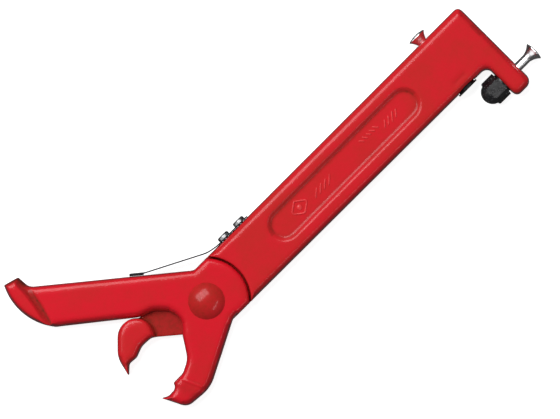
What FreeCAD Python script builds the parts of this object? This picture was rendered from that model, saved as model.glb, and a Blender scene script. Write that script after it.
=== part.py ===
import FreeCAD, Part
import math
import os

V = FreeCAD.Vector
ALONG = V(1, 0, 0)
ACROSS = V(0, 1, 0)

# Frame: X runs along the handle away from the jaws, Y towards the handle's back edge and Z out of
# the face. The origin is on the pivot's axis, on the flat underside that the wrench lies on.
# The jaws are laid out with the claws pointing straight down, x and y counted from the pivot, and
# are then turned by JAW_TURN to meet the handle.
JAW_TURN = -45.0

# Thickness levels, from the underside to the face
FACE = 22.0
LAP_TOP = 10.6
WASHER_TOP = 11.4
LEVER_LAP = 11.45
LEVER_BACK = 3.0
TOE_FACE = 25.0
MID = FACE / 2

# Handle bar
BACK_EDGE = 23.0
BELLY_NEAR = -24.1
BELLY_FAR = -25.0
HANDLE_END = 290.4
FOOT_INNER = 273.6
FOOT_TIP = -56.8
BELLY_ROUND = 6.0
FOOT_ROUND = 4.2
HEEL_ROUND = 6.5
BACK_ROUND = 4.5
BAR_ROUND = 4.0
CLAW_ROUND = 2.2

# Larger than any piece, for the boxes that cut or bound one, and how far a cutting tool runs past
CLEAR = 120.0
PAST = 1.0

# Sunk panel in both faces of the handle
PANEL_START = 69.0
PANEL_END = 222.0
PANEL_HALF = 13.0
PANEL_WALL = 3.4
PANEL_DEPTH = 2.2
PANEL_MIDDLE = -0.5
PANEL_SOFTEN = 1.0

# Scissor joint
HUB_RADIUS = 32.2
HUB_SEAT = 33.4
SEAT_LIP = 1.4
REAR_HUB = 22.4
SHANK_RADIUS = 8.0
SLEEVE_BORE = 8.05
SLEEVE_RADIUS = 10.0
RIVET_HEAD = 13.8
RIVET_DOME = 6.0
HEAD_GAP = 0.2
BURR_RADIUS = 14.0
BURR_THICK = 3.0
PEEN_RADIUS = 10.0
PEEN_DEPTH = 2.0
THRUST_RADIUS = 15.0

# The lever is thinned behind the rear arm, and the front claw behind the rear hub
LEVER_STEP = 62.0
CLAW_STEP = 39.5

# Toe pad: it swells from the lever's face along a slanting crease
CREASE_AT = (-131.6, 5.85)
CREASE_ANGLE = -52.4
CREASE_WIDTH = 4.8
TOE_SWELL = TOE_FACE - FACE

# Leaf spring: path of its middle line, in the handle's axes near the screws and in the jaws' axes
# over the lever
SPRING_THICK = 1.0
SPRING_WIDTH = 12.0
SPRING_START = 66.3
SPRING_LIFT = 34.5
SPRING_BEND = (0.5, 36.0)
SPRING_BEND_RADIUS = 24.0
FOOT_BEND_RADIUS = 3.0
SPRING_REST_GAP = 0.1
REST_NEAR = -46.5
REST_FAR = -57.6
HEM_GAP = 0.1
HEM_RADIUS = 0.54
HEM_OVERHANG = 1.0
SPRING_SCREWS = (43.0, 59.0)
SCREW_HEAD = 5.0
SCREW_HEAD_HEIGHT = 2.9
SCREW_RADIUS = 2.5
SCREW_DEPTH = 12.0
SCREW_CROWN = 1.4
CROSS_WIDTH = 1.2
CROSS_LENGTH = 5.0
CROSS_DEPTH = 1.6
FLARE_CROSS_DEPTH = 2.6

# Flared machine screws with 13 mm nuts
BOLT_RADIUS = 3.55
BOLT_FREE = 0.07
BOLT_CHAMFER = 0.6
FLARE_RADIUS = 7.4
FLARE_LENGTH = 7.6
FLARE_WAIST = (4.6, 1.55)
RIM_THICK = 0.6
CROWN = 1.2
CROWN_FULLNESS = 0.74
NUT_FLATS = 13.0
NUT_HEIGHT = 6.5
FOOT_BOLT_Y = -41.3
FOOT_BOLT_NECK = 299.0
FOOT_BOLT_END = 262.5
FOOT_WASHER_RADIUS = 8.0
FOOT_WASHER_THICK = 1.2
WASHER_PLAY = 0.5
FACE_GAP = 0.05
CAP_FLATS = 18.0
CAP_END = 260.6
CAP_DOME = 8.9
CAP_APEX = 254.2
CAP_BEVEL = 0.9
HANDLE_BOLT_X = 252.2
HANDLE_BOLT_NECK = 20.9
HANDLE_BOLT_END = -25.4
FLANGE_RADIUS = 8.9
FLANGE_THICK = 1.3
NUT_POCKET = 7.8
POCKET_ROOM = 0.5
FLANGE_GAP = 0.12

# Where the pieces' sizes meet
BELLY_AT_NUT = BELLY_NEAR + (BELLY_FAR - BELLY_NEAR) * HANDLE_BOLT_X / FOOT_INNER
NUT_SEAT = FOOT_INNER - FACE_GAP - FOOT_WASHER_THICK
CAP_CORNER = CAP_FLATS / math.sqrt(3)


def jaw(x, y):
    """A point of the jaws' layout, in the handle's axes."""
    turn = math.radians(JAW_TURN)
    return (x * math.cos(turn) - y * math.sin(turn), x * math.sin(turn) + y * math.cos(turn))


def turned(corners):
    """Jaw-layout corners (x, y, radius), in the handle's axes."""
    return [(*jaw(x, y), radius) for x, y, radius in corners]


def outline(corners):
    """A closed wire through (x, y, radius) corners, each rounded by its radius."""
    points = [V(x, y, 0) for x, y, radius in corners]
    count = len(points)
    bends = []
    for i, (x, y, radius) in enumerate(corners):
        here = points[i]
        inward = (here - points[i - 1]).normalize()
        outward = (points[(i + 1) % count] - here).normalize()
        turn = inward.getAngle(outward)
        if radius == 0 or turn < 1e-6:
            bends.append((here, None, here))
            continue
        reach = radius * math.tan(turn / 2)
        middle = (outward - inward).normalize()
        depth = radius / math.cos(turn / 2) - radius
        bends.append((here - inward * reach, here + middle * depth, here + outward * reach))
    edges = []
    for i, (start, middle, end) in enumerate(bends):
        if middle is not None:
            edges.append(Part.Arc(start, middle, end).toShape())
        following = bends[(i + 1) % count][0]
        if (following - end).Length > 1e-6:
            edges.append(Part.LineSegment(end, following).toShape())
    return Part.Wire(edges)


def prism(corners, low, high):
    """The outline of the corners, extruded from low to high."""
    face = Part.Face(outline(corners))
    face.translate(V(0, 0, low))
    return face.extrude(V(0, 0, high - low))


def disc(radius, low, high, inner=0.0):
    """A disc or ring about the pivot."""
    shape = Part.makeCylinder(radius, high - low, V(0, 0, low))
    if inner:
        shape = shape.cut(Part.makeCylinder(inner, high - low, V(0, 0, low)))
    return shape


def rod(radius, at, axis, length):
    """A round rod from the given place along the axis."""
    return Part.makeCylinder(radius, length, at, axis)


def flat_edges(shape, level):
    """The edges that lie in the plane z = level."""
    found = []
    for edge in shape.Edges:
        box = edge.BoundBox
        if abs(box.ZMin - level) < 1e-4 and abs(box.ZMax - level) < 1e-4:
            found.append(edge)
    return found


def hexagon(flats, at, axis, length):
    """A hexagonal prism from the given place along the axis, with one flat towards Z."""
    reach = flats / math.sqrt(3)
    side = V(0, 0, 1)
    across = axis.cross(side)
    corners = []
    for k in range(6):
        angle = math.radians(60 * k + 30)
        corners.append(at + side * (reach * math.cos(angle)) + across * (reach * math.sin(angle)))
    return Part.Face(Part.makePolygon(corners + corners[:1])).extrude(axis * length)


def racetrack(start, end, half, middle, level):
    """A long round-ended wire along X."""
    low = V(start + half, middle - half, level)
    low_end = V(end - half, middle - half, level)
    high_end = V(end - half, middle + half, level)
    high = V(start + half, middle + half, level)
    return Part.Wire([
        Part.LineSegment(low, low_end).toShape(),
        Part.Arc(low_end, V(end, middle, level), high_end).toShape(),
        Part.LineSegment(high_end, high).toShape(),
        Part.Arc(high, V(start, middle, level), low).toShape(),
    ])


def sunk_panel(face_level, floor_level):
    """The hollow of the panel, with sloping walls."""
    rim = racetrack(PANEL_START, PANEL_END, PANEL_HALF, PANEL_MIDDLE, face_level)
    floor = racetrack(PANEL_START + PANEL_WALL, PANEL_END - PANEL_WALL, PANEL_HALF - PANEL_WALL,
                      PANEL_MIDDLE, floor_level)
    return Part.makeLoft([rim, floor], True, True)


def panel_edges(shape, level, start, end, half):
    """The edges of a panel's rim or floor at one level."""
    found = []
    for edge in flat_edges(shape, level):
        box = edge.BoundBox
        sides = max(abs(box.YMin - PANEL_MIDDLE), abs(box.YMax - PANEL_MIDDLE))
        if box.XMin > start - 0.1 and box.XMax < end + 0.1 and sides < half + 0.1:
            found.append(edge)
    return found


# Rear arm and claw, in the jaw layout; the first three corners lie inside the rear hub
REAR_ARM = [
    (0.0, 5.0, 0.0),
    (14.0, -5.0, 0.0),
    (13.5, -20.0, 3.0),
    (-2.0, -24.6, 15.0),
    (-41.5, -28.0, 7.0),
    (-48.6, -34.4, 12.0),
    (-52.3, -42.8, 0.0),
    (-57.9, -47.6, 3.0),
    (-58.4, -57.0, 0.0),
    (-67.3, -43.5, 20.0),
    (-67.3, -13.4, 14.4),
    (-51.2, -13.4, 3.0),
    (-38.0, -0.5, 12.0),
]
CLAW_BITE = (-28.6, -65.0)
CLAW_BITE_RADIUS = 4.4
REAR_PAD = (-52.9, -27.8)
REAR_PAD_RADIUS = 14.4
UNDER_HUB = (-15.0, 30.0)
CLAW_ZONE = (-45.0, -90.0, 80.0, 60.0)

# Lever, front hub and front claw in one outline, in the jaw layout; the corners at the hub's far
# side are trimmed to its round edge
LEVER_OUTLINE = [
    (-133.5, 10.4, 8.0),
    (-9.6, 23.0, 5.0),
    (12.4, 44.1, 0.0),
    (44.8, 11.7, 0.0),
    (20.4, -12.7, 12.0),
    (3.2, -65.6, 28.0),
    (-14.2, -80.2, 9.0),
    (-33.8, -73.5, 0.0),
    (-26.6, -70.6, 6.0),
    (-24.8, -61.3, 0.0),
    (-18.0, -54.4, 7.0),
    (-14.6, -44.0, 16.0),
    (-18.3, -26.0, 8.0),
    (-18.3, -7.7, 13.5),
    (-40.0, -7.7, 8.0),
    (-50.5, -12.7, 12.0),
    (-113.5, -20.0, 6.0),
    (-142.3, -15.4, 46.0),
    (-152.8, 11.6, 0.0),
    (-141.8, 17.8, 0.0),
]


def rounded_bar():
    """The handle's bar and foot, with its long edges rounded."""
    bar = prism([
        (0.0, BELLY_NEAR, 0.0),
        (FOOT_INNER, BELLY_FAR, BELLY_ROUND),
        (FOOT_INNER, FOOT_TIP, FOOT_ROUND),
        (HANDLE_END, FOOT_TIP, HEEL_ROUND),
        (HANDLE_END, BACK_EDGE, BACK_ROUND),
        (0.0, BACK_EDGE, 0.0),
    ], 0, FACE)
    rim = [edge for edge in flat_edges(bar, 0) + flat_edges(bar, FACE) if edge.BoundBox.XMax > PAST]
    return bar.makeFillet(BAR_ROUND, rim)


def rear_arm():
    """The arm behind the lever, with the rear claw that steps forward to the face."""
    arm = prism(turned(REAR_ARM), 0, FACE)
    arm = arm.makeFillet(CLAW_ROUND, flat_edges(arm, 0) + flat_edges(arm, FACE))
    inboard = Part.makeBox(CLEAR, CLEAR, FACE, V(*REAR_PAD, LAP_TOP))
    pad = Part.makeCylinder(REAR_PAD_RADIUS, FACE - LAP_TOP, V(*REAR_PAD, LAP_TOP))
    pad = pad.makeFillet(CLAW_ROUND, flat_edges(pad, FACE))
    under_hub = Part.makeBox(CLEAR, UNDER_HUB[1], FACE, V(UNDER_HUB[0], REAR_PAD[1] - UNDER_HUB[1], LAP_TOP))
    front_gap = inboard.cut(pad).fuse(under_hub)
    front_gap.rotate(V(0, 0, 0), V(0, 0, 1), JAW_TURN)
    return arm.cut(front_gap)


def hub_seat():
    """The space for the lever's hub in the handle's lap, with a rounded upper lip."""
    corner = FACE - SEAT_LIP
    cut_back = SEAT_LIP * (1 - math.sqrt(0.5))
    wire = Part.Wire([
        Part.LineSegment(V(0, 0, LAP_TOP), V(HUB_SEAT, 0, LAP_TOP)).toShape(),
        Part.LineSegment(V(HUB_SEAT, 0, LAP_TOP), V(HUB_SEAT, 0, corner)).toShape(),
        Part.Arc(V(HUB_SEAT, 0, corner), V(HUB_SEAT + cut_back, 0, FACE - cut_back),
                 V(HUB_SEAT + SEAT_LIP, 0, FACE)).toShape(),
        Part.LineSegment(V(HUB_SEAT + SEAT_LIP, 0, FACE), V(HUB_SEAT + SEAT_LIP, 0, FACE + PAST)).toShape(),
        Part.LineSegment(V(HUB_SEAT + SEAT_LIP, 0, FACE + PAST), V(0, 0, FACE + PAST)).toShape(),
        Part.LineSegment(V(0, 0, FACE + PAST), V(0, 0, LAP_TOP)).toShape(),
    ])
    return Part.Face(wire).revolve(V(0, 0, 0), V(0, 0, 1), 360)


def handle_forging():
    """The bar, foot, rear hub and rear claw: one forging."""
    bar = rounded_bar().cut(hub_seat())
    solid = bar.fuse([disc(REAR_HUB, 0, LAP_TOP), rear_arm()]).removeSplitter()
    solid = solid.cut(disc(SHANK_RADIUS, -PAST, LAP_TOP + PAST))
    solid = solid.cut(disc(BURR_RADIUS, -PAST, BURR_THICK))
    for face_level, floor_level in ((FACE, FACE - PANEL_DEPTH), (0.0, PANEL_DEPTH)):
        solid = solid.cut(sunk_panel(face_level, floor_level))
        solid = solid.makeFillet(PANEL_SOFTEN, panel_edges(
            solid, face_level, PANEL_START, PANEL_END, PANEL_HALF))
        solid = solid.makeFillet(PANEL_SOFTEN, panel_edges(
            solid, floor_level, PANEL_START, PANEL_END, PANEL_HALF - PANEL_WALL))
    for x in SPRING_SCREWS:
        solid = solid.cut(rod(SCREW_RADIUS, V(x, BACK_EDGE - SCREW_DEPTH, MID), ACROSS, SCREW_DEPTH + PAST))
    solid = solid.cut(rod(BOLT_RADIUS + BOLT_FREE, V(FOOT_INNER - PAST, FOOT_BOLT_Y, MID), ALONG,
                          HANDLE_END - FOOT_INNER + 2 * PAST))
    solid = solid.cut(flared_screw(V(HANDLE_BOLT_X, 0, MID), ACROSS, HANDLE_BOLT_NECK, HANDLE_BOLT_END))
    depth = NUT_HEIGHT + POCKET_ROOM
    return solid.cut(rod(NUT_POCKET, V(HANDLE_BOLT_X, BELLY_AT_NUT + depth, MID), -ACROSS, depth + PAST))


def toe_zone():
    """The space beyond the crease, bounded by the hollow ramps up to the toe's swollen sides."""
    angle = math.radians(CREASE_ANGLE)
    along = V(math.cos(angle), math.sin(angle), 0)
    out = V(0, 0, -1).cross(along)
    start = V(*CREASE_AT, 0) - along * CLEAR / 2
    radius = (CREASE_WIDTH ** 2 + TOE_SWELL ** 2) / (2 * TOE_SWELL)
    bend = math.asin(CREASE_WIDTH / radius) / 2
    middle = V(radius * math.sin(bend), 0, radius * (1 - math.cos(bend)))

    def place(outward, level):
        return start + out * outward + V(0, 0, level)

    face_side = place(CREASE_WIDTH, TOE_FACE)
    under_side = place(CREASE_WIDTH, 0)
    wire = Part.Wire([
        Part.LineSegment(place(0, LEVER_BACK), place(0, FACE)).toShape(),
        Part.Arc(place(0, FACE), place(middle.x, FACE + middle.z), face_side).toShape(),
        Part.LineSegment(face_side, place(CLEAR, TOE_FACE)).toShape(),
        Part.LineSegment(place(CLEAR, TOE_FACE), place(CLEAR, 0)).toShape(),
        Part.LineSegment(place(CLEAR, 0), under_side).toShape(),
        Part.Arc(under_side, place(middle.x, LEVER_BACK - middle.z), place(0, LEVER_BACK)).toShape(),
    ])
    zone = Part.Face(wire).extrude(along * CLEAR)
    zone.rotate(V(0, 0, 0), V(0, 0, 1), JAW_TURN)
    return zone


def lever_slab(low, high):
    """The lever's whole outline between two levels, with its edges rounded."""
    slab = prism(turned(LEVER_OUTLINE), low, high)
    trim = Part.makeBox(CLEAR, CLEAR, high - low, V(0, -CLEAR / 2, low)).cut(disc(HUB_RADIUS, low, high))
    slab = slab.cut(trim)
    return slab.makeFillet(CLAW_ROUND, flat_edges(slab, low) + flat_edges(slab, high))


def jaw_box(x, y, long, wide):
    """A box of the jaw layout that spans every level."""
    box = Part.makeBox(long, wide, TOE_FACE + 2 * PAST, V(x, y, -PAST))
    box.rotate(V(0, 0, 0), V(0, 0, 1), JAW_TURN)
    return box


def lever_forging():
    """The lever, its toe pad, the front hub and the front claw: one forging."""
    zone = toe_zone()
    claw_zone = jaw_box(*CLAW_ZONE)
    toe_half = zone.common(lever_slab(0, TOE_FACE))
    arm = lever_slab(LEVER_BACK, FACE).cut(claw_zone).cut(toe_side())
    arm = arm.cut(disc(LEVER_STEP, -PAST, LEVER_LAP))
    claw = lever_slab(0, FACE).common(claw_zone).cut(disc(CLAW_STEP, -PAST, LEVER_LAP))
    solid = arm.fuse([toe_half, claw]).removeSplitter()
    solid = solid.cut(disc(SLEEVE_RADIUS, -PAST, FACE + PAST))
    bite = rod(CLAW_BITE_RADIUS, V(*jaw(*CLAW_BITE), -PAST), V(0, 0, 1), FACE + 2 * PAST)
    return solid.cut(bite)


def toe_side():
    """Everything beyond the plane in which the crease starts."""
    box = Part.makeBox(CLEAR, CLEAR, TOE_FACE + 2 * PAST, V(-CLEAR / 2, 0, -PAST))
    box.rotate(V(0, 0, 0), V(0, 0, 1), CREASE_ANGLE + 180)
    box.translate(V(*CREASE_AT, 0))
    box.rotate(V(0, 0, 0), V(0, 0, 1), JAW_TURN)
    return box


def pivot_rivet():
    """Domed rivet, its far end spread into the burr."""
    dome_radius = (RIVET_HEAD ** 2 + RIVET_DOME ** 2) / (2 * RIVET_DOME)
    base = FACE + HEAD_GAP
    ball = Part.makeSphere(dome_radius, V(0, 0, base + RIVET_DOME - dome_radius))
    head = ball.common(disc(RIVET_HEAD + PAST, base, base + RIVET_DOME + PAST))
    shank = disc(SHANK_RADIUS, 0, base)
    peen = Part.makeCone(PEEN_RADIUS, SHANK_RADIUS, PEEN_DEPTH)
    return head.fuse([shank, peen]).removeSplitter()


def rivet_burr():
    """Ring under the rivet's spread end, sunk flush in the underside."""
    return disc(BURR_RADIUS, 0, BURR_THICK, SHANK_RADIUS).cut(
        Part.makeCone(PEEN_RADIUS, SHANK_RADIUS, PEEN_DEPTH))


def flared_screw(at, axis, neck, end):
    """A round shank that flares like a trumpet into a crowned head; lengths along the axis."""
    side = V(0, 0, 1)

    def place(along, radius):
        return at + axis * along + side * radius

    rim = neck + FLARE_LENGTH
    edge = rim + RIM_THICK
    tip = place(end, BOLT_RADIUS - BOLT_CHAMFER)
    shoulder = place(end + BOLT_CHAMFER, BOLT_RADIUS)
    waist = place(neck + FLARE_WAIST[0], BOLT_RADIUS + FLARE_WAIST[1])
    crown = place(edge + CROWN * CROWN_FULLNESS, FLARE_RADIUS / 2)
    pole = place(edge + CROWN, 0)
    wire = Part.Wire([
        Part.LineSegment(place(end, 0), tip).toShape(),
        Part.LineSegment(tip, shoulder).toShape(),
        Part.LineSegment(shoulder, place(neck, BOLT_RADIUS)).toShape(),
        Part.Arc(place(neck, BOLT_RADIUS), waist, place(rim, FLARE_RADIUS)).toShape(),
        Part.LineSegment(place(rim, FLARE_RADIUS), place(edge, FLARE_RADIUS)).toShape(),
        Part.Arc(place(edge, FLARE_RADIUS), crown, pole).toShape(),
        Part.LineSegment(pole, place(end, 0)).toShape(),
    ])
    return Part.Face(wire).revolve(at, axis, 360)


def cross_recess(top, axis, length, width, depth):
    """The cross that a screwdriver fits, sunk from the top of a head against its axis."""
    side = V(0, 0, 1)
    across = axis.cross(side)
    arms = []
    for long, wide in ((side, across), (across, side)):
        corner = top - long * (length / 2) - wide * (width / 2) - axis * depth
        far = corner + long * length
        square = Part.makePolygon([corner, far, far + wide * width, corner + wide * width, corner])
        arms.append(Part.Face(square).extrude(axis * (2 * depth)))
    return arms[0].fuse(arms[1])


def crossed_screw(at, axis, neck, end):
    """A flared screw with a cross recess in its head."""
    top = at + axis * (neck + FLARE_LENGTH + RIM_THICK + CROWN)
    recess = cross_recess(top, axis, CROSS_LENGTH, CROSS_WIDTH, FLARE_CROSS_DEPTH)
    return flared_screw(at, axis, neck, end).cut(recess)


def foot_screw():
    """Flared screw through the foot."""
    return crossed_screw(V(0, FOOT_BOLT_Y, MID), ALONG, FOOT_BOLT_NECK, FOOT_BOLT_END)


def handle_screw():
    """Flared screw seated in the back edge, across the handle."""
    return crossed_screw(V(HANDLE_BOLT_X, 0, MID), ACROSS, HANDLE_BOLT_NECK, HANDLE_BOLT_END)


def pivot_sleeve():
    """Hard sleeve in the lever's hub that turns on the rivet."""
    return disc(SLEEVE_RADIUS, LEVER_LAP, FACE, SLEEVE_BORE)


def thrust_washer():
    """Thin ring that keeps the lapped faces apart."""
    return disc(THRUST_RADIUS, LAP_TOP, WASHER_TOP, SHANK_RADIUS)


def offset_corners(corners, shift):
    """The corners of a path moved sideways by shift; bends keep their common centres."""
    points = [V(x, y, 0) for x, y, radius in corners]
    moved = []
    for i, (x, y, radius) in enumerate(corners):
        before = (points[i] - points[i - 1]).normalize() if i else None
        after = (points[i + 1] - points[i]).normalize() if i + 1 < len(points) else None
        first = before or after
        second = after or before
        left = V(0, 0, 1).cross(first)
        left_after = V(0, 0, 1).cross(second)
        bisector = (left + left_after).normalize()
        spot = points[i] + bisector * (shift / bisector.dot(left))
        if radius:
            radius = max(radius - math.copysign(shift, first.cross(second).z), 0.0)
        moved.append((spot.x, spot.y, radius))
    return moved


def strip(corners, thick, low, high):
    """A strip of even thickness whose middle line follows the corners."""
    side = offset_corners(corners, thick / 2)
    other = offset_corners(corners, -thick / 2)
    return prism(side + other[::-1], low, high)


def leaf_spring():
    """Flat steel strip screwed to the back edge, its hemmed end resting on the lever."""
    seat = BACK_EDGE + SPRING_THICK / 2
    lift = SPRING_REST_GAP + SPRING_THICK * 1.5 + HEM_GAP
    rest_near = lever_top(REST_NEAR, lift)
    rest_far = lever_top(REST_FAR, lift)
    hem_turn = lever_top(REST_FAR, lift - SPRING_THICK - HEM_GAP)
    hem_end = lever_top(REST_NEAR - HEM_OVERHANG, lift - SPRING_THICK - HEM_GAP)
    path = [
        (SPRING_START, seat, 0.0),
        (SPRING_LIFT, seat, SPRING_BEND_RADIUS),
        (*jaw(*SPRING_BEND), SPRING_BEND_RADIUS),
        (*jaw(*rest_near), FOOT_BEND_RADIUS),
        (*jaw(*rest_far), HEM_RADIUS),
        (*jaw(*hem_turn), HEM_RADIUS),
        (*jaw(*hem_end), 0.0),
    ]
    leaf = strip(path, SPRING_THICK, MID - SPRING_WIDTH / 2, MID + SPRING_WIDTH / 2)
    for x in SPRING_SCREWS:
        leaf = leaf.cut(rod(SCREW_RADIUS, V(x, BACK_EDGE - PAST, MID), ACROSS, SPRING_THICK + 2 * PAST))
    return leaf


def lever_top(x, height):
    """A point of the jaw layout at a height over the lever's straight top edge."""
    toe, heel = LEVER_OUTLINE[0], LEVER_OUTLINE[1]
    slope = (heel[1] - toe[1]) / (heel[0] - toe[0])
    return (x, toe[1] + (x - toe[0]) * slope + height)


def spring_screw(x):
    """Pan-head screw with a cross recess."""
    top = BACK_EDGE + SPRING_THICK
    shank = rod(SCREW_RADIUS, V(x, BACK_EDGE - SCREW_DEPTH, MID), ACROSS, SCREW_DEPTH + SPRING_THICK)
    head = rod(SCREW_HEAD, V(x, top, MID), ACROSS, SCREW_HEAD_HEIGHT)
    crown = [edge for edge in head.Edges if edge.BoundBox.YMin > top + SCREW_HEAD_HEIGHT / 2]
    head = head.makeFillet(SCREW_CROWN, crown)
    screw = head.fuse(shank).removeSplitter()
    return screw.cut(cross_recess(
        V(x, top + SCREW_HEAD_HEIGHT, MID), ACROSS, CROSS_LENGTH, CROSS_WIDTH, CROSS_DEPTH))


def foot_washer():
    """Flat ring between the capped nut and the foot."""
    at = V(NUT_SEAT, FOOT_BOLT_Y, MID)
    ring = rod(FOOT_WASHER_RADIUS, at, ALONG, FOOT_WASHER_THICK)
    return ring.cut(rod(BOLT_RADIUS + WASHER_PLAY, at, ALONG, FOOT_WASHER_THICK))


def foot_nut():
    """Hexagon nut near the end of the foot screw, inside the black cap."""
    at = V(NUT_SEAT, FOOT_BOLT_Y, MID)
    return hexagon(NUT_FLATS, at, -ALONG, NUT_HEIGHT).cut(rod(BOLT_RADIUS, at, -ALONG, NUT_HEIGHT))


def foot_nut_cap():
    """Hexagonal plastic cap with a domed end, pushed over the nut."""
    at = V(NUT_SEAT, FOOT_BOLT_Y, MID)
    length = NUT_SEAT - CAP_END
    taper = Part.makeCone(CAP_CORNER + length - CAP_BEVEL, CAP_CORNER - CAP_BEVEL, length, at, -ALONG)
    skirt = hexagon(CAP_FLATS, at, -ALONG, length).common(taper)
    ball = Part.makeSphere(CAP_DOME, V(CAP_APEX + CAP_DOME, FOOT_BOLT_Y, MID))
    dome = ball.common(rod(2 * CAP_DOME, V(NUT_SEAT, FOOT_BOLT_Y, MID), -ALONG, CLEAR))
    cap = skirt.fuse(dome).removeSplitter()
    cap = cap.cut(hexagon(NUT_FLATS, at, -ALONG, NUT_HEIGHT))
    return cap.cut(rod(BOLT_RADIUS, at, -ALONG, NUT_SEAT - FOOT_BOLT_END))


def handle_nut():
    """Flanged nut sunk in the belly edge under the handle screw."""
    at = V(HANDLE_BOLT_X, BELLY_AT_NUT - FLANGE_GAP, MID)
    flange = rod(FLANGE_RADIUS, at, -ACROSS, FLANGE_THICK)
    nut = hexagon(NUT_FLATS, at, ACROSS, NUT_HEIGHT).fuse(flange).removeSplitter()
    bore = rod(BOLT_RADIUS, at - ACROSS * 2 * FLANGE_THICK, ACROSS, NUT_HEIGHT + 3 * FLANGE_THICK)
    return nut.cut(bore)


PARTS = {
    "handle_forging": handle_forging(),
    "lever_forging": lever_forging(),
    "pivot_rivet": pivot_rivet(),
    "rivet_burr": rivet_burr(),
    "pivot_sleeve": pivot_sleeve(),
    "thrust_washer": thrust_washer(),
    "leaf_spring": leaf_spring(),
    "spring_screw_near": spring_screw(SPRING_SCREWS[0]),
    "spring_screw_far": spring_screw(SPRING_SCREWS[1]),
    "foot_screw": foot_screw(),
    "foot_washer": foot_washer(),
    "foot_nut": foot_nut(),
    "foot_nut_cap": foot_nut_cap(),
    "handle_screw": handle_screw(),
    "handle_nut": handle_nut(),
}

os.makedirs("parts", exist_ok=True)
for name, shape in PARTS.items():
    shape.exportStep(f"parts/{name}.step")
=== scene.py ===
import math

import bmesh
import bpy
import numpy as np
from mathutils import Matrix, Vector, noise
from mathutils.bvhtree import BVHTree
from mathutils.kdtree import KDTree


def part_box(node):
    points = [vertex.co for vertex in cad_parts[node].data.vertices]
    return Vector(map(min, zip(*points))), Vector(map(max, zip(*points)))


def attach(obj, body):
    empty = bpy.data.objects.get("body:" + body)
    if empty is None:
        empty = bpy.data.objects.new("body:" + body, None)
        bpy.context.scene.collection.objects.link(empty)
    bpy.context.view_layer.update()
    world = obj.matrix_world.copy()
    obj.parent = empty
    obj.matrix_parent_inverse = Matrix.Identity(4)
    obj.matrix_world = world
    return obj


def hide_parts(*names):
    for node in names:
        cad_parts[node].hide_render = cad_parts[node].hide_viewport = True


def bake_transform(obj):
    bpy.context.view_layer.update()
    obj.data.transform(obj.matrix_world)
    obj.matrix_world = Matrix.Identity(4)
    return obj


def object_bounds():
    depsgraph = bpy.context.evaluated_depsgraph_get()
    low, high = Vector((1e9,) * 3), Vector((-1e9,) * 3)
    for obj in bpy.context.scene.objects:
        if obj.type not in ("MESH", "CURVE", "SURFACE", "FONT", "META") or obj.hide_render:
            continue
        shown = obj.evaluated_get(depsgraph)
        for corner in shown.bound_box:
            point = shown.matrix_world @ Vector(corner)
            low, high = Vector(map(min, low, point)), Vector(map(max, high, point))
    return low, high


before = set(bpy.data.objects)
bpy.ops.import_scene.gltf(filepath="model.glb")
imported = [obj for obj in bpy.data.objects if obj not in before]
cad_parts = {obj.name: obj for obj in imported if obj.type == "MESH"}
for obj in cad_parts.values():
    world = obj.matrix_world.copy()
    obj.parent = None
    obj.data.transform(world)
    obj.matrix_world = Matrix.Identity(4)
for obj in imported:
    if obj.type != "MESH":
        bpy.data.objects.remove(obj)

CAD_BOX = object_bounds()
MM = 0.001

# The axes are the handle's: X runs from the jaws to the foot, Y to the back edge and Z out of the
# face. X and Y are 0 at the pivot, and Z is 0 on the underside.
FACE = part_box("handle_forging")[1].z
MID = FACE / 2


# ---- Node trees ----

class Socket:
    """An output socket of a node, which takes part in Python expressions."""

    def __init__(self, maker, link):
        self.maker = maker
        self.link = link

    def __add__(self, other):
        return self.maker.maths("ADD", self, other)

    def __radd__(self, other):
        return self.maker.maths("ADD", other, self)

    def __sub__(self, other):
        return self.maker.maths("SUBTRACT", self, other)

    def __rsub__(self, other):
        return self.maker.maths("SUBTRACT", other, self)

    def __mul__(self, other):
        return self.maker.maths("MULTIPLY", self, other)

    def __rmul__(self, other):
        return self.maker.maths("MULTIPLY", other, self)

    def __pow__(self, other):
        return self.maker.maths("POWER", self, other)

    def __rpow__(self, other):
        return self.maker.maths("POWER", other, self)

    def __abs__(self):
        return self.maker.maths("ABSOLUTE", self)

    def ramp(self, low, high):
        """0 up to low and 1 from high on, with soft ends."""
        return self.maker.node("ShaderNodeMapRange", {"interpolation_type": "SMOOTHSTEP"}, {
            "Value": self, "From Min": low, "From Max": high})


class NodeTree:
    """A node tree being made."""

    def __init__(self, tree):
        self.tree = tree

    def node(self, kind, settings, inputs, output=0):
        """Adds a node: its settings first, then the values or links of its sockets."""
        made = self.tree.nodes.new(kind)
        for name, value in settings.items():
            setattr(made, name, value)
        for key, value in inputs.items():
            if isinstance(value, Socket):
                self.tree.links.new(value.link, made.inputs[key])
            else:
                made.inputs[key].default_value = value
        return Socket(self, made.outputs[output])

    def maths(self, operation, *terms):
        """A Math node on values or sockets."""
        return self.node("ShaderNodeMath", {"operation": operation}, dict(enumerate(terms)))


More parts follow.
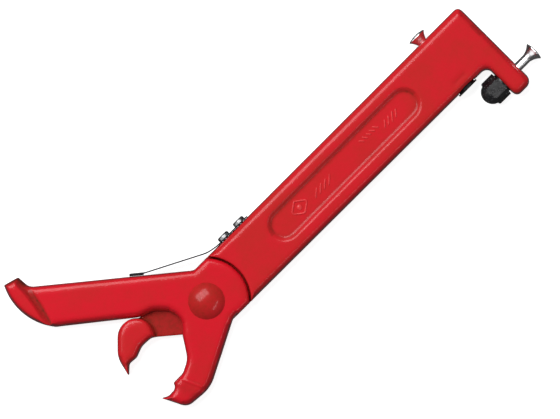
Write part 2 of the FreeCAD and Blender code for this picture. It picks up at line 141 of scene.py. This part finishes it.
class Finish(NodeTree):
    """A material being made, with its Principled shader. Constants are the shader's own."""

    def __init__(self, name, **constants):
        self.material = bpy.data.materials.new(name)
        self.material.use_nodes = True
        super().__init__(self.material.node_tree)
        self.tree.nodes.clear()
        output = self.tree.nodes.new("ShaderNodeOutputMaterial")
        self.shader = self.tree.nodes.new("ShaderNodeBsdfPrincipled")
        self.tree.links.new(self.shader.outputs["BSDF"], output.inputs["Surface"])
        for socket, value in constants.items():
            self.shader.inputs[socket.replace("_", " ")].default_value = value
        self.place = self.node("ShaderNodeTexCoord", {}, {}, "Object")

    def mix(self, share, first, second):
        """Colour first where share is 0 and second where it is 1."""
        return self.node("ShaderNodeMix", {"data_type": "RGBA"}, {0: share, 6: first, 7: second}, 2)

    def noise(self, scale, detail=2.0, roughness=0.5, place=None):
        """Noise with scale lumps to the metre."""
        return self.node("ShaderNodeTexNoise", {}, {
            "Vector": place or self.place, "Scale": scale, "Detail": detail, "Roughness": roughness})

    def set(self, **sockets):
        """Links the shader's sockets to what varies over the surface."""
        for socket, value in sockets.items():
            self.tree.links.new(value.link, self.shader.inputs[socket.replace("_", " ")])

    def bump(self, height, depth):
        """Relief of the given depth, in metres, for a height from 0 to 1."""
        relief = self.node("ShaderNodeBump", {}, {"Height": height, "Strength": 1.0, "Distance": depth},
                           "Normal")
        self.set(Normal=relief)


# ---- Finishes ----

# The vertex attribute that holds each spot's share of painted shade, from 0 to 1: darkening put into the
# colour in the hollows, under the lever and on some walls.
PAINTED_SHADE_ATTRIBUTE = "painted_shade_amount"
FLECK_RED = (0.8, 0.03, 0.05, 1.0)
# The brown of the painted shade.
PAINTED_SHADE_BROWN = (0.16, 0.018, 0.008, 1.0)


def enamel(name, light, deep):
    """Gloss enamel sprayed over a forging: orange peel and drifts of colour, with painted shade: a
    browner, duller tone, with less coat, where the vertex attribute of painted shade is high."""
    paint = Finish(name, Specular_IOR_Level=0.18, Coat_Roughness=0.16, Coat_IOR=1.5)
    drift = paint.noise(38.0, detail=3.0, roughness=0.6).ramp(0.35, 0.68)
    mottle = paint.noise(420.0).ramp(0.4, 0.7)
    speck = paint.noise(1500.0, roughness=0.6).ramp(0.62, 0.72)
    painted_shade_amount = paint.node("ShaderNodeAttribute", {"attribute_name": PAINTED_SHADE_ATTRIBUTE}, {}, "Fac")
    # Painted shade: the stored share, mottled, browns the colour, roughens it and thins the coat.
    painted_shade = painted_shade_amount * (0.75 + mottle * 0.25)
    colour = paint.mix(drift * 0.7 + mottle * 0.3, (*light, 1.0), (*deep, 1.0))
    colour = paint.mix(speck * 0.25, colour, FLECK_RED)
    paint.set(
        Base_Color=paint.mix(painted_shade, colour, PAINTED_SHADE_BROWN),
        Roughness=0.36 + drift * 0.08 + mottle * 0.05 + painted_shade * 0.1,
        Coat_Weight=0.95 - mottle * 0.15 - painted_shade * 0.6,
    )
    peel = paint.noise(900.0)
    waves = paint.noise(120.0, detail=3.0, roughness=0.55)
    paint.bump(peel * 0.25 + waves * 0.75, 0.1 * MM)
    return paint.material


def bright_steel(name, tone, rough):
    """Plated steel of the given tone, with fine turning marks."""
    steel = Finish(name, Metallic=1.0)
    light = (tone, tone, tone * 1.01, 1.0)
    dark = (tone * 0.82, tone * 0.82, tone * 0.84, 1.0)
    cloud = steel.noise(260.0, detail=3.0, roughness=0.6)
    grain = steel.noise(2600.0, roughness=0.6)
    steel.set(
        Base_Color=steel.mix(cloud.ramp(0.3, 0.7), light, dark),
        Roughness=rough + cloud * 0.08 + grain * 0.05,
    )
    steel.bump(grain, 0.02 * MM)
    return steel.material


def spring_steel(name):
    """Blued strip: dark, with a fine grain drawn out along the leaf."""
    steel = Finish(name, Metallic=1.0)
    light = (0.085, 0.09, 0.1, 1.0)
    dark = (0.05, 0.053, 0.062, 1.0)
    drawn = steel.node("ShaderNodeMapping", {}, {"Vector": steel.place, "Scale": (1.0, 1.0, 12.0)})
    grain = steel.noise(900.0, detail=3.0, roughness=0.6, place=drawn)
    cloud = steel.noise(90.0)
    steel.set(
        Base_Color=steel.mix(cloud.ramp(0.3, 0.7), light, dark),
        Roughness=0.3 + grain * 0.16,
    )
    steel.bump(grain, 0.02 * MM)
    return steel.material


def black_plastic(name):
    """Glossy black moulding with a faint skin texture."""
    plastic = Finish(name, Specular_IOR_Level=0.55, Coat_Roughness=0.1)
    dark = (0.006, 0.006, 0.007, 1.0)
    light = (0.014, 0.014, 0.015, 1.0)
    cloud = plastic.noise(180.0, detail=3.0, roughness=0.55)
    skin = plastic.noise(1500.0)
    plastic.set(
        Base_Color=plastic.mix(cloud.ramp(0.3, 0.7), dark, light),
        Roughness=0.24 + cloud * 0.05 + skin * 0.03,
        Coat_Weight=0.4 + cloud * 0.2,
    )
    plastic.bump(skin, 0.015 * MM)
    return plastic.material


def plain_floor(name):
    """Pale matt floor, bright enough to leave only a faint shadow."""
    floor = Finish(name, Base_Color=(0.5, 0.5, 0.5, 1.0), Roughness=0.9,
                   Emission_Color=(1.0, 1.0, 1.0, 1.0), Emission_Strength=0.9)
    return floor.material


HANDLE_RED = enamel("handle_red", (0.66, 0.013, 0.022), (0.56, 0.018, 0.017))
LEVER_RED = enamel("lever_red", (0.70, 0.009, 0.022), (0.60, 0.014, 0.018))
RIVET_RED = enamel("rivet_red", (0.58, 0.014, 0.018), (0.38, 0.020, 0.012))
# The raised marks' lighter red is partly enamel worn thin on them and partly a painted highlight that
# makes them stand out.
MARK_HIGHLIT_RED = enamel("mark_red_painted_highlight", (0.80, 0.05, 0.055), (0.66, 0.03, 0.035))
SCREW_STEEL = bright_steel("screw_steel", 0.9, 0.2)
PAN_STEEL = bright_steel("pan_head_steel", 0.34, 0.26)
PLAIN_STEEL = bright_steel("plain_steel", 0.5, 0.3)
DARK_STEEL = bright_steel("dark_steel", 0.12, 0.3)
LEAF_STEEL = spring_steel("leaf_steel")
CAP_BLACK = black_plastic("cap_black")

CAD_FINISHES = {
    "handle_forging": HANDLE_RED,
    "lever_forging": LEVER_RED,
    "pivot_rivet": RIVET_RED,
    "rivet_burr": PLAIN_STEEL,
    "pivot_sleeve": PLAIN_STEEL,
    "thrust_washer": PLAIN_STEEL,
    "leaf_spring": LEAF_STEEL,
    "spring_screw_near": PAN_STEEL,
    "spring_screw_far": PAN_STEEL,
    "foot_screw": SCREW_STEEL,
    "foot_washer": DARK_STEEL,
    "foot_nut": PLAIN_STEEL,
    "foot_nut_cap": CAP_BLACK,
    "handle_screw": SCREW_STEEL,
    "handle_nut": DARK_STEEL,
}


def paint_nodes():
    """Gives every CAD node its finish."""
    for name, finish in CAD_FINISHES.items():
        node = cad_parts[name]
        if not node.material_slots:
            node.data.materials.append(finish)
        for slot in node.material_slots:
            slot.link = "OBJECT"
            slot.material = finish


# ---- Meshes ----

# Vertices this close are one, and no length that is divided by is smaller than this.
MERGE = 0.001 * MM
TINY = 1e-9


def places(mesh):
    """The mesh's vertices and their normals as arrays."""
    count = len(mesh.vertices)
    spots = np.empty(count * 3)
    normals = np.empty(count * 3)
    mesh.vertices.foreach_get("co", spots)
    mesh.vertex_normals.foreach_get("vector", normals)
    return spots.reshape(-1, 3), normals.reshape(-1, 3)


def move(mesh, spots):
    """Puts the mesh's vertices at the given spots."""
    mesh.vertices.foreach_set("co", spots.ravel())
    mesh.update()


def modified(mesh, kind, settings, inputs=None):
    """The plain mesh that one modifier makes of a mesh."""
    holder = bpy.data.objects.new("holder", mesh)
    bpy.context.scene.collection.objects.link(holder)
    modifier = holder.modifiers.new("modifier", kind)
    for name, value in settings.items():
        setattr(modifier, name, value)
    for name, value in (inputs or {}).items():
        modifier[name] = value
    result = holder.evaluated_get(bpy.context.evaluated_depsgraph_get())
    made = bpy.data.meshes.new_from_object(result)
    bpy.data.objects.remove(holder)
    return made


def remeshed(node, voxel):
    """An even, closed mesh of a CAD node's shape."""
    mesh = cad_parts[node].data.copy()
    work = bmesh.new()
    work.from_mesh(mesh)
    bmesh.ops.remove_doubles(work, verts=work.verts, dist=MERGE)
    work.to_mesh(mesh)
    work.free()
    return modified(mesh, "REMESH", {"mode": "VOXEL", "voxel_size": voxel})


def relax(mesh, rounds, picked=None):
    """Evens the surface out: in each round every vertex, or every picked one, goes half way to the
    mean of its neighbours."""
    share = 0.5 if picked is None else 0.5 * picked[:, None]
    spots, _ = places(mesh)
    ends = np.empty(len(mesh.edges) * 2, int)
    mesh.edges.foreach_get("vertices", ends)
    ends = ends.reshape(-1, 2)
    count = np.bincount(ends.ravel(), minlength=len(spots))[:, None]
    for _ in range(rounds):
        total = np.zeros_like(spots)
        for axis in range(3):
            total[:, axis] = np.bincount(ends[:, 0], spots[ends[:, 1], axis], len(spots))
            total[:, axis] += np.bincount(ends[:, 1], spots[ends[:, 0], axis], len(spots))
        spots += share * (total / count - spots)
    move(mesh, spots)


def soften(distance, width):
    """1 at no distance, falling softly to 0 at the width."""
    near = np.clip(1.0 - distance / width, 0.0, 1.0)
    return near * near * (3 - 2 * near)


def along(spots, *points):
    """How far each spot lies from a line, seen from above. The line's points are in millimetres."""
    flat = spots[:, :2]
    nearest = np.full(len(flat), np.inf)
    for first, second in zip(points, points[1:]):
        first, second = np.array(first) * MM, np.array(second) * MM
        run = second - first
        part = np.clip((flat - first) @ run / (run @ run), 0.0, 1.0)
        nearest = np.minimum(nearest, np.linalg.norm(flat - first - part[:, None] * run, axis=1))
    return nearest


def piece(name, mesh, finish, body, slot, *nodes):
    """A finished piece that rides on a body and stands for the named CAD nodes."""
    made = bpy.data.objects.new(name, mesh)
    bpy.context.scene.collection.objects.link(made)
    mesh.materials.clear()
    mesh.materials.append(finish)
    mesh.shade_smooth()
    if body:
        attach(made, body)
    if nodes:
        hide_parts(*nodes)
    return made


# ---- Forgings ----

FORGING_VOXEL = 0.6 * MM
FORGING_ROUNDS = 4

# The side walls lean inwards from the parting line to the faces by the draft, and the flats roll down
# towards them by the crown. Each fades out over its reach, and is at most its share of the room
# between the wall and the one across from it.
DRAFT = 1.7 * MM
DRAFT_REACH = 7.0 * MM
DRAFT_SHARE = 0.22
CROWN = 1.1 * MM
CROWN_REACH = 7.0 * MM
CROWN_SHARE = 0.09

# A wall's normal has less than this along Z. Walls count, and the flats start, from these shares of
# the height between the parting line and the face.
WALL_TILT = 0.25
WALL_START = 0.5
FLAT_START = 0.8

# A wall faces a way when its normal has more than this that way. Those that face the back edge lean
# by this share.
FACING = 0.5
BACK_LEAN = 0.6

# Room is measured from just under the wall. Where nothing lies across from it, this is its room.
SKIN = 0.3 * MM
OPEN_ROOM = 1.0

FORGED_WAVE = 0.05 * MM
FORGED_SPAN = 20.0 * MM

# A hollow is what fills in when the surface is evened out, and is full from this depth on.
HOLLOW_ROUNDS = 14
HOLLOW_DEPTH = 0.3 * MM

# Where the lever's edge rests on the rear claw's pad, how far that reaches, and the lean's share there.
REST_SPOT = (-46.7 * MM, 29.1 * MM)
REST_ROOM = 8 * MM
REST_LEAN = -0.15


def drafted(mesh, middle, half, leaning):
    """Leans the side walls inwards above and below the parting line, as they leave a forging die, and
    rolls the flats down towards them. Middle is the height of that line and half is from there to a
    face. Leaning gives each vertex's shares of the lean and of the roll, and whether it can count as
    a wall at all."""
    spots, normals = places(mesh)
    share, roll, counted = leaning(spots, normals)
    counted &= np.abs(normals[:, 2]) < WALL_TILT
    surface = BVHTree.FromPolygons([Vector(spot) for spot in spots],
                                   [tuple(face.vertices) for face in mesh.polygons])
    flat = spots * (1, 1, 0)
    outward = normals * (1, 1, 0)
    outward /= np.maximum(np.linalg.norm(outward, axis=1), TINY)[:, None]
    moved = spots.copy()
    for side in (1, -1):
        height = (spots[:, 2] - middle) * side
        walls = np.flatnonzero(counted & (height > WALL_START * half))
        tree = KDTree(len(walls))
        room = {}
        for i in walls:
            inward = -Vector(outward[i])
            _, _, _, across = surface.ray_cast(Vector(spots[i]) + inward * SKIN, inward)
            room[i] = OPEN_ROOM if across is None else across
            tree.insert(Vector(flat[i]), i)
        tree.balance()
        for i in np.flatnonzero(height > 0):
            _, wall, away = tree.find(Vector(flat[i]))
            reach = min(DRAFT_REACH, room[wall] / 2)
            if away < reach:
                lean = min(DRAFT, DRAFT_SHARE * room[wall]) * min(height[i] / half, 1.0) * share[wall]
                moved[i] -= outward[wall] * lean * soften(away, reach)
            if away < CROWN_REACH and height[i] > FLAT_START * half:
                drop = min(CROWN, CROWN_SHARE * room[wall]) * roll[wall]
                moved[i, 2] -= side * drop * (1.0 - away / CROWN_REACH) ** 2
    move(mesh, moved)


def at_rest_spot(spots):
    """The share of the lean near the lever's rest: 1 well away from it, and just below 0 on it, where
    the walls lean outwards a little to meet."""
    distance = np.hypot(spots[:, 0] - REST_SPOT[0], spots[:, 1] - REST_SPOT[1])
    return np.clip(distance / REST_ROOM - 1.0, REST_LEAN, 1.0)


def weathered(mesh):
    """Gives the surface the slight unevenness of a forging, which is always inwards."""
    spots, normals = places(mesh)
    for i, spot in enumerate(spots):
        spots[i] += normals[i] * FORGED_WAVE * (noise.noise(Vector(spot) / FORGED_SPAN) - 1.0)
    move(mesh, spots)


def hollows(mesh):
    """How deep each vertex lies in a hollow, from 0 to 1."""
    spots, normals = places(mesh)
    smooth = mesh.copy()
    relax(smooth, HOLLOW_ROUNDS)
    evened, _ = places(smooth)
    bpy.data.meshes.remove(smooth)
    return np.clip(((evened - spots) * normals).sum(axis=1) / HOLLOW_DEPTH, 0.0, 1.0)


def store_painted_shade(mesh, depth):
    """Keeps each vertex's share of painted shade for the enamel to read."""
    layer = mesh.attributes.new(PAINTED_SHADE_ATTRIBUTE, "FLOAT", "POINT")
    layer.data.foreach_set("value", np.clip(depth, 0.0, 1.0).astype(np.float32))


# Places along the handle, from the pivot. The bar runs on for a little way inside the foot.
BAR_START = 45 * MM
PANEL_START = 70 * MM
PANEL_END = 230 * MM
FOOT_START = 270 * MM
BAR_END = 280 * MM
FOOT_END = 290 * MM

# Half the width that holds the panel's walls, and that with its rim. Its surface is sunk by at least
# the edge, and its floor by the depth.
PANEL_WALLS = 16 * MM
PANEL_RIM = 17 * MM
PANEL_EDGE = 0.3 * MM
PANEL_DEPTH = 2.2 * MM

# The round seat that the lever's hub turns in, the least depth under the face of the half that the
# lever laps, and half the length of the pocket for the sunk nut.
SEAT_RADIUS = 35.5 * MM
LAP_DEPTH = 8 * MM
POCKET_HALF = 14 * MM

# A wall in the bar is a hole's when it faces the bar's edges by less than this. The foot's end leans
# more, and the belly edge rolls less.
HOLE_FACING = 0.8
FOOT_LEAN = 1.2
BELLY_ROLL = 0.45

# The bar's flats, from this share of half the thickness outwards, are evened out further, but the
# panel only a little. Then this share of the triangles is kept.
FLAT_SHARE = 0.75
FLAT_ROUNDS = 24
PANEL_ROUNDS = 2
HANDLE_DETAIL = 0.5


def handle():
    """Handle forging: drafted bar, foot and rear claw."""

    def leaning(spots, normals):
        x, y, _ = spots.T
        facing_x, facing_y, _ = normals.T
        seat = (np.hypot(x, y) < SEAT_RADIUS) & (x > 0)
        panel = (np.abs(y) < PANEL_WALLS) & (x > 0) & (x < FOOT_START)
        holes = (x > BAR_START) & (x < BAR_END) & (np.abs(facing_y) < HOLE_FACING)
        share = at_rest_spot(spots) * np.where(facing_y > FACING, BACK_LEAN, 1.0)
        share = np.where((facing_x > FACING) & (x > FOOT_END), FOOT_LEAN, share)
        roll = np.where((facing_y < -FACING) & (x > 0), BELLY_ROLL, 1.0)
        return share, roll, ~(seat | panel | holes)

    mesh = remeshed("handle_forging", FORGING_VOXEL)
    drafted(mesh, MID, MID, leaning)
    relax(mesh, FORGING_ROUNDS)

    x, y, z = places(mesh)[0].T
    nut_low, nut_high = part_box("handle_nut")
    pocket = (y < 0) & (np.abs(x - (nut_low.x + nut_high.x) / 2) < POCKET_HALF)
    bar = (x > BAR_START) & (np.abs(z - MID) > FLAT_SHARE * MID) & ~pocket
    panel = (np.abs(y) < PANEL_RIM) & (x > PANEL_START) & (x < PANEL_END)
    relax(mesh, FLAT_ROUNDS, bar & ~panel)
    relax(mesh, PANEL_ROUNDS, bar & panel)
    weathered(mesh)
    mesh = modified(mesh, "DECIMATE", {"ratio": HANDLE_DETAIL})

    spots, normals = places(mesh)
    x, y, z = spots.T
    facing_x, facing_y, facing_z = normals.T
    # Painted shade, darkened into the colour: hollows, the rear arm where the lever shades it, the
    # panel's wall that faces away from the back edge, and the foot's end face.
    shadow_under_lever = (z < FACE - LAP_DEPTH) & (facing_z > 0.35) & (x < 0)
    sunk = (np.abs(y) < PANEL_RIM) & (x > BAR_START) & (z < FACE - PANEL_EDGE)
    shaded_panel_wall = sunk & (facing_z > 0.2) & (facing_z < 0.97) & (facing_y < 0)
    end = (facing_x > 0.6) & (x > FOOT_END)
    store_painted_shade(mesh, hollows(mesh) * 0.8 + shadow_under_lever * 0.65 + shaded_panel_wall * 0.35 + end * 0.9)
    return piece("handle", mesh, HANDLE_RED, "handle", "handle_enamel", "handle_forging")


# Lines on the lever's face, in millimetres along the handle's axes: the sunk crease and the end of the
# toe pad, and the seam and the tip of the claw. The toe pad's end and the claw's tip get only painted
# shade, and the crease gets some as well.
TOE_CREASE = ((-88.8, 107.9), (-89.3, 98.9), (-91.5, 87.3), (-95.2, 74.0), (-97.4, 66.5))
TOE_END = ((-98.6, 116.2), (-88.3, 112.2), (-88.0, 105.6))
CLAW_SEAM = ((-54.8, -27.9), (-48.0, -43.2))
CLAW_TIP = ((-60.0, -29.0), (-56.0, -43.0))

# The crease is flat for its floor's half width, and each line fades out over its side.
CREASE_FLOOR = 1.2 * MM
CREASE_SIDE = 2.8 * MM
CREASE_DEPTH = 0.9 * MM
SEAM_SIDE = 1.4 * MM
SEAM_HEIGHT = 0.45 * MM
TOE_END_SIDE = 3.6 * MM
CLAW_TIP_SIDE = 7 * MM

# Distances from the pivot: the bore's walls, where the lever leaves the hub, and the hub with its
# edge. The hub's side towards the handle starts this far along X.
LEVER_BORE = 12 * MM
LEVER_START = 30 * MM
HUB_ROOM = 37 * MM
HUB_SIDE = 10 * MM

# On the jaws' side of the pivot, walls that face away from the back edge lean more. The hub's side
# leans less.
LOWER_LEAN = 1.5
HUB_LEAN = 0.3

# The lever's top, from this share of the handle's thickness upwards, is evened out further.
LEVER_TOP = 0.8
LEVER_ROUNDS = 8


def lever():
    """Lever forging: drafted lever, toe pad, hub and front claw."""

    def leaning(spots, normals):
        x, y, _ = spots.T
        facing_y = normals[:, 1]
        out = np.hypot(x, y)
        share = at_rest_spot(spots) * np.where(facing_y > FACING, BACK_LEAN, 1.0)
        share = np.where((facing_y < -FACING) & (x < 0), LOWER_LEAN, share)
        share = np.where((out < HUB_ROOM) & (x > HUB_SIDE), HUB_LEAN, share)
        return share, np.ones(len(spots)), out >= LEVER_BORE

    mesh = remeshed("lever_forging", FORGING_VOXEL)
    low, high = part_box("lever_forging")
    middle = (low.z + high.z) / 2
    drafted(mesh, middle, FACE - middle, leaning)
    relax(mesh, FORGING_ROUNDS)
    x, y, z = places(mesh)[0].T
    relax(mesh, LEVER_ROUNDS, (np.hypot(x, y) > LEVER_START) & (y > 0) & (z > LEVER_TOP * FACE))

    spots, normals = places(mesh)
    facing_z = np.clip(normals[:, 2], 0.0, 1.0)
    crease = soften(np.maximum(along(spots, *TOE_CREASE) - CREASE_FLOOR, 0.0), CREASE_SIDE) * facing_z
    seam = soften(along(spots, *CLAW_SEAM), SEAM_SIDE) * facing_z
    spots[:, 2] += seam * SEAM_HEIGHT - crease * CREASE_DEPTH
    move(mesh, spots)
    weathered(mesh)

    # Painted shade, darkened into the colour: hollows, the sunk crease, the toe pad's end and the claw's
    # tip.
    spots, _ = places(mesh)
    end = soften(along(spots, *TOE_END), TOE_END_SIDE)
    tip = soften(along(spots, *CLAW_TIP), CLAW_TIP_SIDE)
    store_painted_shade(mesh, hollows(mesh) * 0.7 + crease * 0.55 + end + tip * 0.25)
    return piece("lever", mesh, LEVER_RED, "lever", "lever_enamel", "lever_forging")


# ---- Leaf spring ----

LEAF_VOXEL = 0.25 * MM
LEAF_ROUNDS = 2


def leaf():
    """Leaf spring, from its first screw to its tip on the lever, remeshed and evened out."""
    mesh = remeshed("leaf_spring", LEAF_VOXEL)
    relax(mesh, LEAF_ROUNDS)
    made = piece("leaf", mesh, LEAF_STEEL, None, "spring_steel", "leaf_spring")
    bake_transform(made)
    return made


# ---- Raised marks ----

# Steps round a section, along a rib and round a corner of the lozenge.
ROUND = 14
RIB_STEPS = 15
CORNER_STEPS = 8

LOZENGE_AT = (99 * MM, 0.4 * MM)
LOZENGE_LENGTH = 16 * MM
LOZENGE_HEIGHT = 12 * MM
LOZENGE_CORNER = 1.6 * MM
# Half the width of the lozenge's line, and its boss's radius as a share of its height.
LOZENGE_LINE = 0.7 * MM
LOZENGE_BOSS = 0.17

# A rib's full width, the length of the shortest rib as a share of the longest, and how suddenly the
# ends close.
RIB_WIDTH = 1.3 * MM
RIB_SHORTEST = 0.62
RIB_BLUNTNESS = 7.0
# Each row's number of ribs, first place along and across, pitch and length in millimetres, and lean
# in degrees.
RIB_ROWS = (
    (4, 115.5, -0.8, 4.6, 9.0, -48),
    (5, 167.0, 2.6, 3.7, 6.5, 42),
    (4, 188.5, -0.6, 3.9, 9.5, -40),
)


class Growth(NodeTree):
    """A Geometry Nodes tree being made, with named inputs."""

    def __init__(self, name, **inputs):
        super().__init__(bpy.data.node_groups.new(name, "GeometryNodeTree"))
        sockets = self.tree.interface
        sockets.new_socket("Geometry", in_out="OUTPUT", socket_type="NodeSocketGeometry")
        self.inputs = {}
        for label, kind in inputs.items():
            socket = sockets.new_socket(label, in_out="INPUT", socket_type="NodeSocket" + kind)
            self.inputs[label] = socket.identifier
        self.entry = self.tree.nodes.new("NodeGroupInput")

    def given(self, label):
        """The named input's value."""
        return Socket(self, self.entry.outputs[label])

    def vector(self, x=0.0, y=0.0, z=0.0):
        """A vector of values or sockets."""
        return self.node("ShaderNodeCombineXYZ", {}, {"X": x, "Y": y, "Z": z})

    def join(self, *parts):
        made = self.tree.nodes.new("GeometryNodeJoinGeometry")
        for part in parts:
            self.tree.links.new(part.link, made.inputs[0])
        return Socket(self, made.outputs[0])

    def finish(self, geometry):
        """Ends the tree with real faces in the finish that was given."""
        whole = self.node("GeometryNodeRealizeInstances", {}, {0: geometry})
        painted = self.node("GeometryNodeSetMaterial", {}, {0: whole, "Material": self.given("Finish")})
        output = self.tree.nodes.new("NodeGroupOutput")
        self.tree.links.new(painted.link, output.inputs[0])

    def grown(self, **values):
        """The plain mesh that the tree makes with the given inputs."""
        inputs = {self.inputs[label]: value for label, value in values.items()}
        return modified(bpy.data.meshes.new("seed"), "NODES", {"node_group": self.tree}, inputs)


def rib_tree():
    """A row of leaning ribs with rounded ends, each a little different in length."""
    grow = Growth("raised_ribs", Count="Int", Pitch="Float", Length="Float", Width="Float", Lean="Float",
                  At="Vector", Finish="Material", Seed="Int")
    row = grow.node("GeometryNodeMeshLine", {}, {
        "Count": grow.given("Count"), "Start Location": grow.given("At"),
        "Offset": grow.vector(x=grow.given("Pitch"))})
    line = grow.node("GeometryNodeCurvePrimitiveLine", {}, {
        "Start": (0.0, -0.5, 0.0), "End": (0.0, 0.5, 0.0)})
    line = grow.node("GeometryNodeResampleCurve", {}, {0: line, "Count": RIB_STEPS})
    factor = grow.node("GeometryNodeSplineParameter", {}, {}, "Factor")
    # 1 along most of the rib, falling to a small blunt end at both.
    closing = (1.02 - abs(factor * 2.0 - 1.0) ** RIB_BLUNTNESS) ** 0.5
    line = grow.node("GeometryNodeTransform", {}, {
        0: line, "Scale": grow.vector(1.0, grow.given("Length"), 1.0)})
    section = grow.node("GeometryNodeCurvePrimitiveCircle", {}, {"Resolution": ROUND, "Radius": 0.5})
    rib = grow.node("GeometryNodeCurveToMesh", {}, {
        0: line, 1: section, "Scale": closing * grow.given("Width"), "Fill Caps": True})
    share = grow.node("FunctionNodeRandomValue", {"data_type": "FLOAT"}, {
        2: RIB_SHORTEST, 3: 1.0, "Seed": grow.given("Seed")}, 1)
    ribs = grow.node("GeometryNodeInstanceOnPoints", {}, {
        "Points": row, "Instance": rib, "Rotation": grow.vector(z=grow.given("Lean")),
        "Scale": grow.vector(1.0, share, 1.0)})
    grow.finish(ribs)
    return grow


def lozenge_tree():
    """A raised lozenge: a rounded diamond outline round a small boss."""
    grow = Growth("raised_lozenge", Length="Float", Height="Float", Line="Float", At="Vector",
                  Finish="Material")
    long, tall, line = grow.given("Length"), grow.given("Height"), grow.given("Line")
    diamond = grow.node("GeometryNodeCurvePrimitiveQuadrilateral", {"mode": "POINTS"}, {
        "Point 1": grow.vector(x=long * 0.5), "Point 2": grow.vector(y=tall * 0.5),
        "Point 3": grow.vector(x=long * -0.5), "Point 4": grow.vector(y=tall * -0.5)})
    diamond = grow.node("GeometryNodeFilletCurve", {"mode": "POLY"}, {
        0: diamond, "Count": CORNER_STEPS, "Radius": LOZENGE_CORNER, "Limit Radius": True})
    section = grow.node("GeometryNodeCurvePrimitiveCircle", {}, {"Resolution": ROUND, "Radius": line})
    ring = grow.node("GeometryNodeCurveToMesh", {}, {0: diamond, 1: section})
    boss = grow.node("GeometryNodeMeshUVSphere", {}, {"Segments": 32, "Rings": 16, "Radius": 1.0})
    radius = tall * LOZENGE_BOSS
    boss = grow.node("GeometryNodeTransform", {}, {0: boss, "Scale": grow.vector(radius, radius, line)})
    both = grow.node("GeometryNodeTransform", {}, {
        0: grow.join(ring, boss), "Translation": grow.given("At")})
    grow.finish(both)
    return grow


def panel_marks():
    """Generic raised marks on the floor of the face's panel, in the lighter red that is partly a painted
    highlight.
    """
    floor = FACE - PANEL_DEPTH
    ribs = rib_tree()
    meshes = [lozenge_tree().grown(Length=LOZENGE_LENGTH, Height=LOZENGE_HEIGHT, Line=LOZENGE_LINE,
                                   At=(*LOZENGE_AT, floor), Finish=MARK_HIGHLIT_RED)]
    for seed, (count, x, y, pitch, length, lean) in enumerate(RIB_ROWS):
        meshes.append(ribs.grown(Count=count, Pitch=pitch * MM, Length=length * MM, Width=RIB_WIDTH,
                                 Lean=math.radians(lean), At=(x * MM, y * MM, floor), Finish=MARK_HIGHLIT_RED,
                                 Seed=seed))
    work = bmesh.new()
    for mesh in meshes:
        work.from_mesh(mesh)
    marks = bpy.data.meshes.new("panel_marks")
    work.to_mesh(marks)
    work.free()
    return piece("panel_marks", marks, MARK_HIGHLIT_RED, "handle", "handle_enamel")


# ---- Studio ----

BRIGHT_NODES = ("foot_screw", "handle_screw", "spring_screw_near", "spring_screw_far")
VIEW_WIDTH = 0.42
VIEW_LENS = 250.0
VIEW_CENTRE = Vector((87.5, 9.5, 22.0)) * MM
# Turns the view so that the claws point down in it.
VIEW_TURN = math.radians(-45)
FAR_CLIP = 100.0
FLOOR_SIZE = 30.0
SURROUND_GREY = (0.9, 0.9, 0.9, 1.0)
SURROUND_STRENGTH = 0.07


def camera():
    """Looks straight down on the face."""
    data = bpy.data.cameras.new("camera")
    data.lens = VIEW_LENS
    data.clip_end = FAR_CLIP
    made = bpy.data.objects.new("camera", data)
    bpy.context.scene.collection.objects.link(made)
    distance = VIEW_WIDTH * VIEW_LENS / data.sensor_width
    made.location = VIEW_CENTRE + Vector((0, 0, distance))
    made.rotation_euler = (0, 0, VIEW_TURN)
    bpy.context.scene.camera = made


def softbox(name, direction, tilt, size, distance, power, glossy=True, only=()):
    """An area light that looks at the tool. Direction is how far right and up in the view it stands,
    and tilt is its angle from straight overhead. With only, it falls on those nodes alone."""
    turn = Matrix.Rotation(VIEW_TURN, 3, "Z")
    flat = (turn @ Vector((*direction, 0))).normalized()
    away = flat * math.sin(math.radians(tilt)) + Vector((0, 0, math.cos(math.radians(tilt))))
    data = bpy.data.lights.new(name, "AREA")
    data.shape = "RECTANGLE"
    data.size, data.size_y = size
    data.energy = power
    light = bpy.data.objects.new(name, data)
    light.location = VIEW_CENTRE + away * distance
    light.rotation_mode = "QUATERNION"
    light.rotation_quaternion = away.to_track_quat("Z", "Y")
    light.visible_glossy = glossy
    bpy.context.scene.collection.objects.link(light)
    if only:
        lit = bpy.data.collections.new(name + "_nodes")
        for node in only:
            lit.objects.link(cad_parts[node])
        light.light_linking.receiver_collection = lit


def studio():
    """Pale floor, dim surroundings and soft lamps."""
    bpy.ops.mesh.primitive_plane_add(size=FLOOR_SIZE)
    floor = bpy.context.object
    floor.name = "floor"
    floor.location.z = min(CAD_BOX[0].z, 0.0)
    floor.data.materials.append(plain_floor("floor_paint"))
    floor.visible_glossy = False
    floor.visible_diffuse = False

    world = bpy.data.worlds.new("surroundings")
    world.use_nodes = True
    background = world.node_tree.nodes["Background"]
    background.inputs["Color"].default_value = SURROUND_GREY
    background.inputs["Strength"].default_value = SURROUND_STRENGTH
    bpy.context.scene.world = world
    bpy.context.scene.view_settings.view_transform = "Standard"

    softbox("key", (-0.85, 1.0), tilt=36, size=(2.2, 1.2), distance=2.0, power=21.0)
    softbox("ceiling", (-1.0, 1.0), tilt=22, size=(0.8, 0.8), distance=2.4, power=35.0, glossy=False)
    softbox("fill", (1.0, -0.8), tilt=60, size=(0.9, 0.5), distance=2.2, power=2.0, glossy=False)
    softbox("edge_strip", (1.0, -0.6), tilt=48, size=(1.4, 0.14), distance=2.0, power=2.0)
    softbox("metal_card", (-0.3, 1.0), tilt=14, size=(2.2, 1.6), distance=1.6, power=34.0,
            only=BRIGHT_NODES)
    softbox("metal_side", (-1.0, -1.0), tilt=58, size=(1.6, 1.2), distance=1.6, power=8.0,
            only=BRIGHT_NODES)
    softbox("cap_card", (-1.0, -0.2), tilt=12, size=(0.5, 0.9), distance=1.6, power=9.0,
            only=("foot_nut_cap",))


paint_nodes()
handle()
lever()
leaf()
panel_marks()
camera()
studio()
